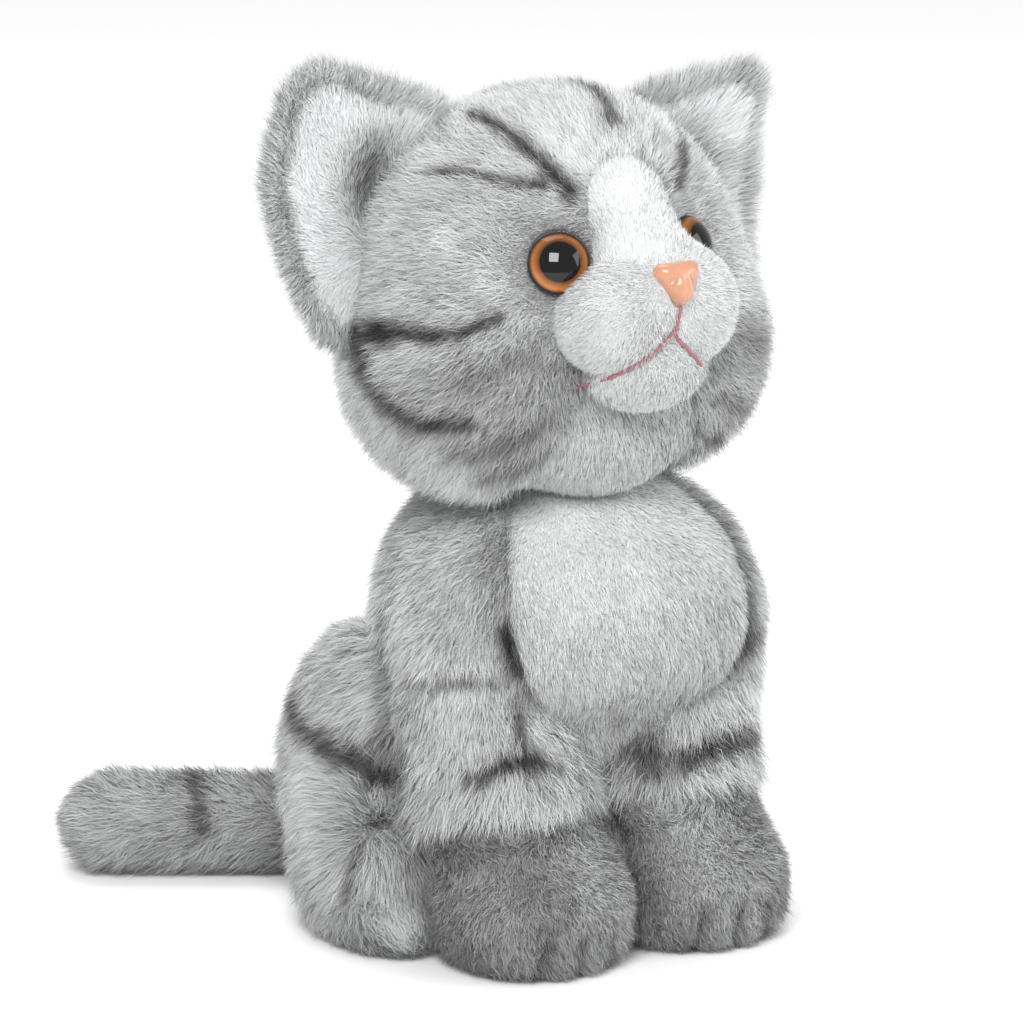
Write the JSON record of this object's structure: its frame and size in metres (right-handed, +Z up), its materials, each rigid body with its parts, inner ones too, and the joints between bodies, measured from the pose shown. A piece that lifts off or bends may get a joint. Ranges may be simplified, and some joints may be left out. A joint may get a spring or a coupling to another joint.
{
  "type": "plush cat",
  "caption": "Sitting plush cat with a turning, nodding head, folding ears, a swinging tail and forelegs that swing at the shoulder; it rests on a flat seat.",
  "frame": {"origin": "on the seat panel, straight below the neck and on the surface that the toy sits on; the middle of the panel is 20 mm behind it", "axes": "+Z up; the cat looks along -Y; its left side is +X"},
  "size_m": [0.146, 0.1748, 0.2181],
  "materials": {
    "plush_grey": "long soft grey plush with charcoal airbrushed stripes",
    "plush_white": "short soft white plush",
    "plush_paw": "shorter, darker grey plush",
    "fibre_fill": "white polyester fibre fill",
    "pouch_cloth": "plain woven cloth",
    "pellets": "loose pellets, held in a closed bag",
    "eye_amber": "gloss",
    "eye_black": "gloss",
    "washer_white": "satin",
    "nose_peach": "satin moulded vinyl",
    "thread_pink": "embroidery thread",
    "thread_grey": "sewing thread",
    "thread_dark": "embroidery thread"
  },
  "bodies": {
    "torso": {"body_side_left": "plush_grey", "body_side_right": "plush_grey", "bib": "plush_white", "seat_panel": "plush_grey", "body_stuffing": "fibre_fill", "pellet_pouch": "pouch_cloth", "pellet_fill": "pellets", "closing_stitch": "thread_grey", "haunch_skin_left": "plush_grey", "haunch_skin_right": "plush_grey", "haunch_stuffing_left": "fibre_fill", "haunch_stuffing_right": "fibre_fill", "hindfoot_left": "plush_paw", "hindfoot_right": "plush_paw"},
    "neck": {"neck_stuffing": "fibre_fill"},
    "head": {"head_side_left": "plush_grey", "head_side_right": "plush_grey", "forehead_panel": "plush_white", "head_back_panel": "plush_grey", "throat_panel": "plush_white", "nose_bridge": "plush_white", "muzzle_skin": "plush_white", "chin_skin": "plush_white", "muzzle_stuffing": "fibre_fill", "head_stuffing": "fibre_fill", "eye_dome_left": "eye_amber", "eye_dome_right": "eye_amber", "eye_back_left": "eye_black", "eye_back_right": "eye_black", "eye_washer_left": "washer_white", "eye_washer_right": "washer_white", "nose": "nose_peach", "nose_washer": "washer_white", "mouth_stitch": "thread_pink"},
    "ear_left": {"ear_back_left": "plush_grey", "ear_lining_left": "plush_white"},
    "ear_right": {"ear_back_right": "plush_grey", "ear_lining_right": "plush_white"},
    "foreleg_left": {"foreleg_skin_left": "plush_grey", "forepaw_skin_left": "plush_paw", "foreleg_stuffing_left": "fibre_fill", "toe_stitches_left": "thread_dark"},
    "foreleg_right": {"foreleg_skin_right": "plush_grey", "forepaw_skin_right": "plush_paw", "foreleg_stuffing_right": "fibre_fill", "toe_stitches_right": "thread_dark"},
    "tail": {"tail_skin": "plush_grey", "tail_stuffing": "fibre_fill"}
  },
  "joints": [
    {"name": "head_turn", "type": "hinge", "parent": "torso", "child": "neck", "pos_m": [-0.0015, 0.008, 0.087], "axis": [0, 0, 1], "range_deg": [-25, 25], "stiffness_Nm_per_rad": 0.3},
    {"name": "head_nod", "type": "hinge", "parent": "neck", "child": "head", "pos_m": [-0.0015, 0.008, 0.087], "axis": [1, 0, 0], "range_deg": [-7, 7], "stiffness_Nm_per_rad": 1.5},
    {"name": "ear_left_fold", "type": "hinge", "parent": "head", "child": "ear_left", "pos_m": [0.0385, 0.0208, 0.1787], "axis": [0.3569, -0.029, -0.9337], "range_deg": [-15, 30], "stiffness_Nm_per_rad": 0.03},
    {"name": "ear_right_fold", "type": "hinge", "parent": "head", "child": "ear_right", "pos_m": [-0.0412, 0.0207, 0.185], "axis": [0.4877, 0.03, 0.8725], "range_deg": [-15, 30], "stiffness_Nm_per_rad": 0.03},
    {"name": "foreleg_left_swing", "type": "hinge", "parent": "torso", "child": "foreleg_left", "pos_m": [0.02925, -0.003, 0.078], "axis": [1, 0, 0], "range_deg": [-15, 2], "stiffness_Nm_per_rad": 0.4},
    {"name": "foreleg_right_swing", "type": "hinge", "parent": "torso", "child": "foreleg_right", "pos_m": [-0.02675, -0.003, 0.078], "axis": [1, 0, 0], "range_deg": [-15, 2], "stiffness_Nm_per_rad": 0.4},
    {"name": "tail_swing", "type": "hinge", "parent": "torso", "child": "tail", "pos_m": [0.004, 0.069, 0.0105], "axis": [0, 0, 1], "range_deg": [-60, 22], "stiffness_Nm_per_rad": 0.1}
  ]
}
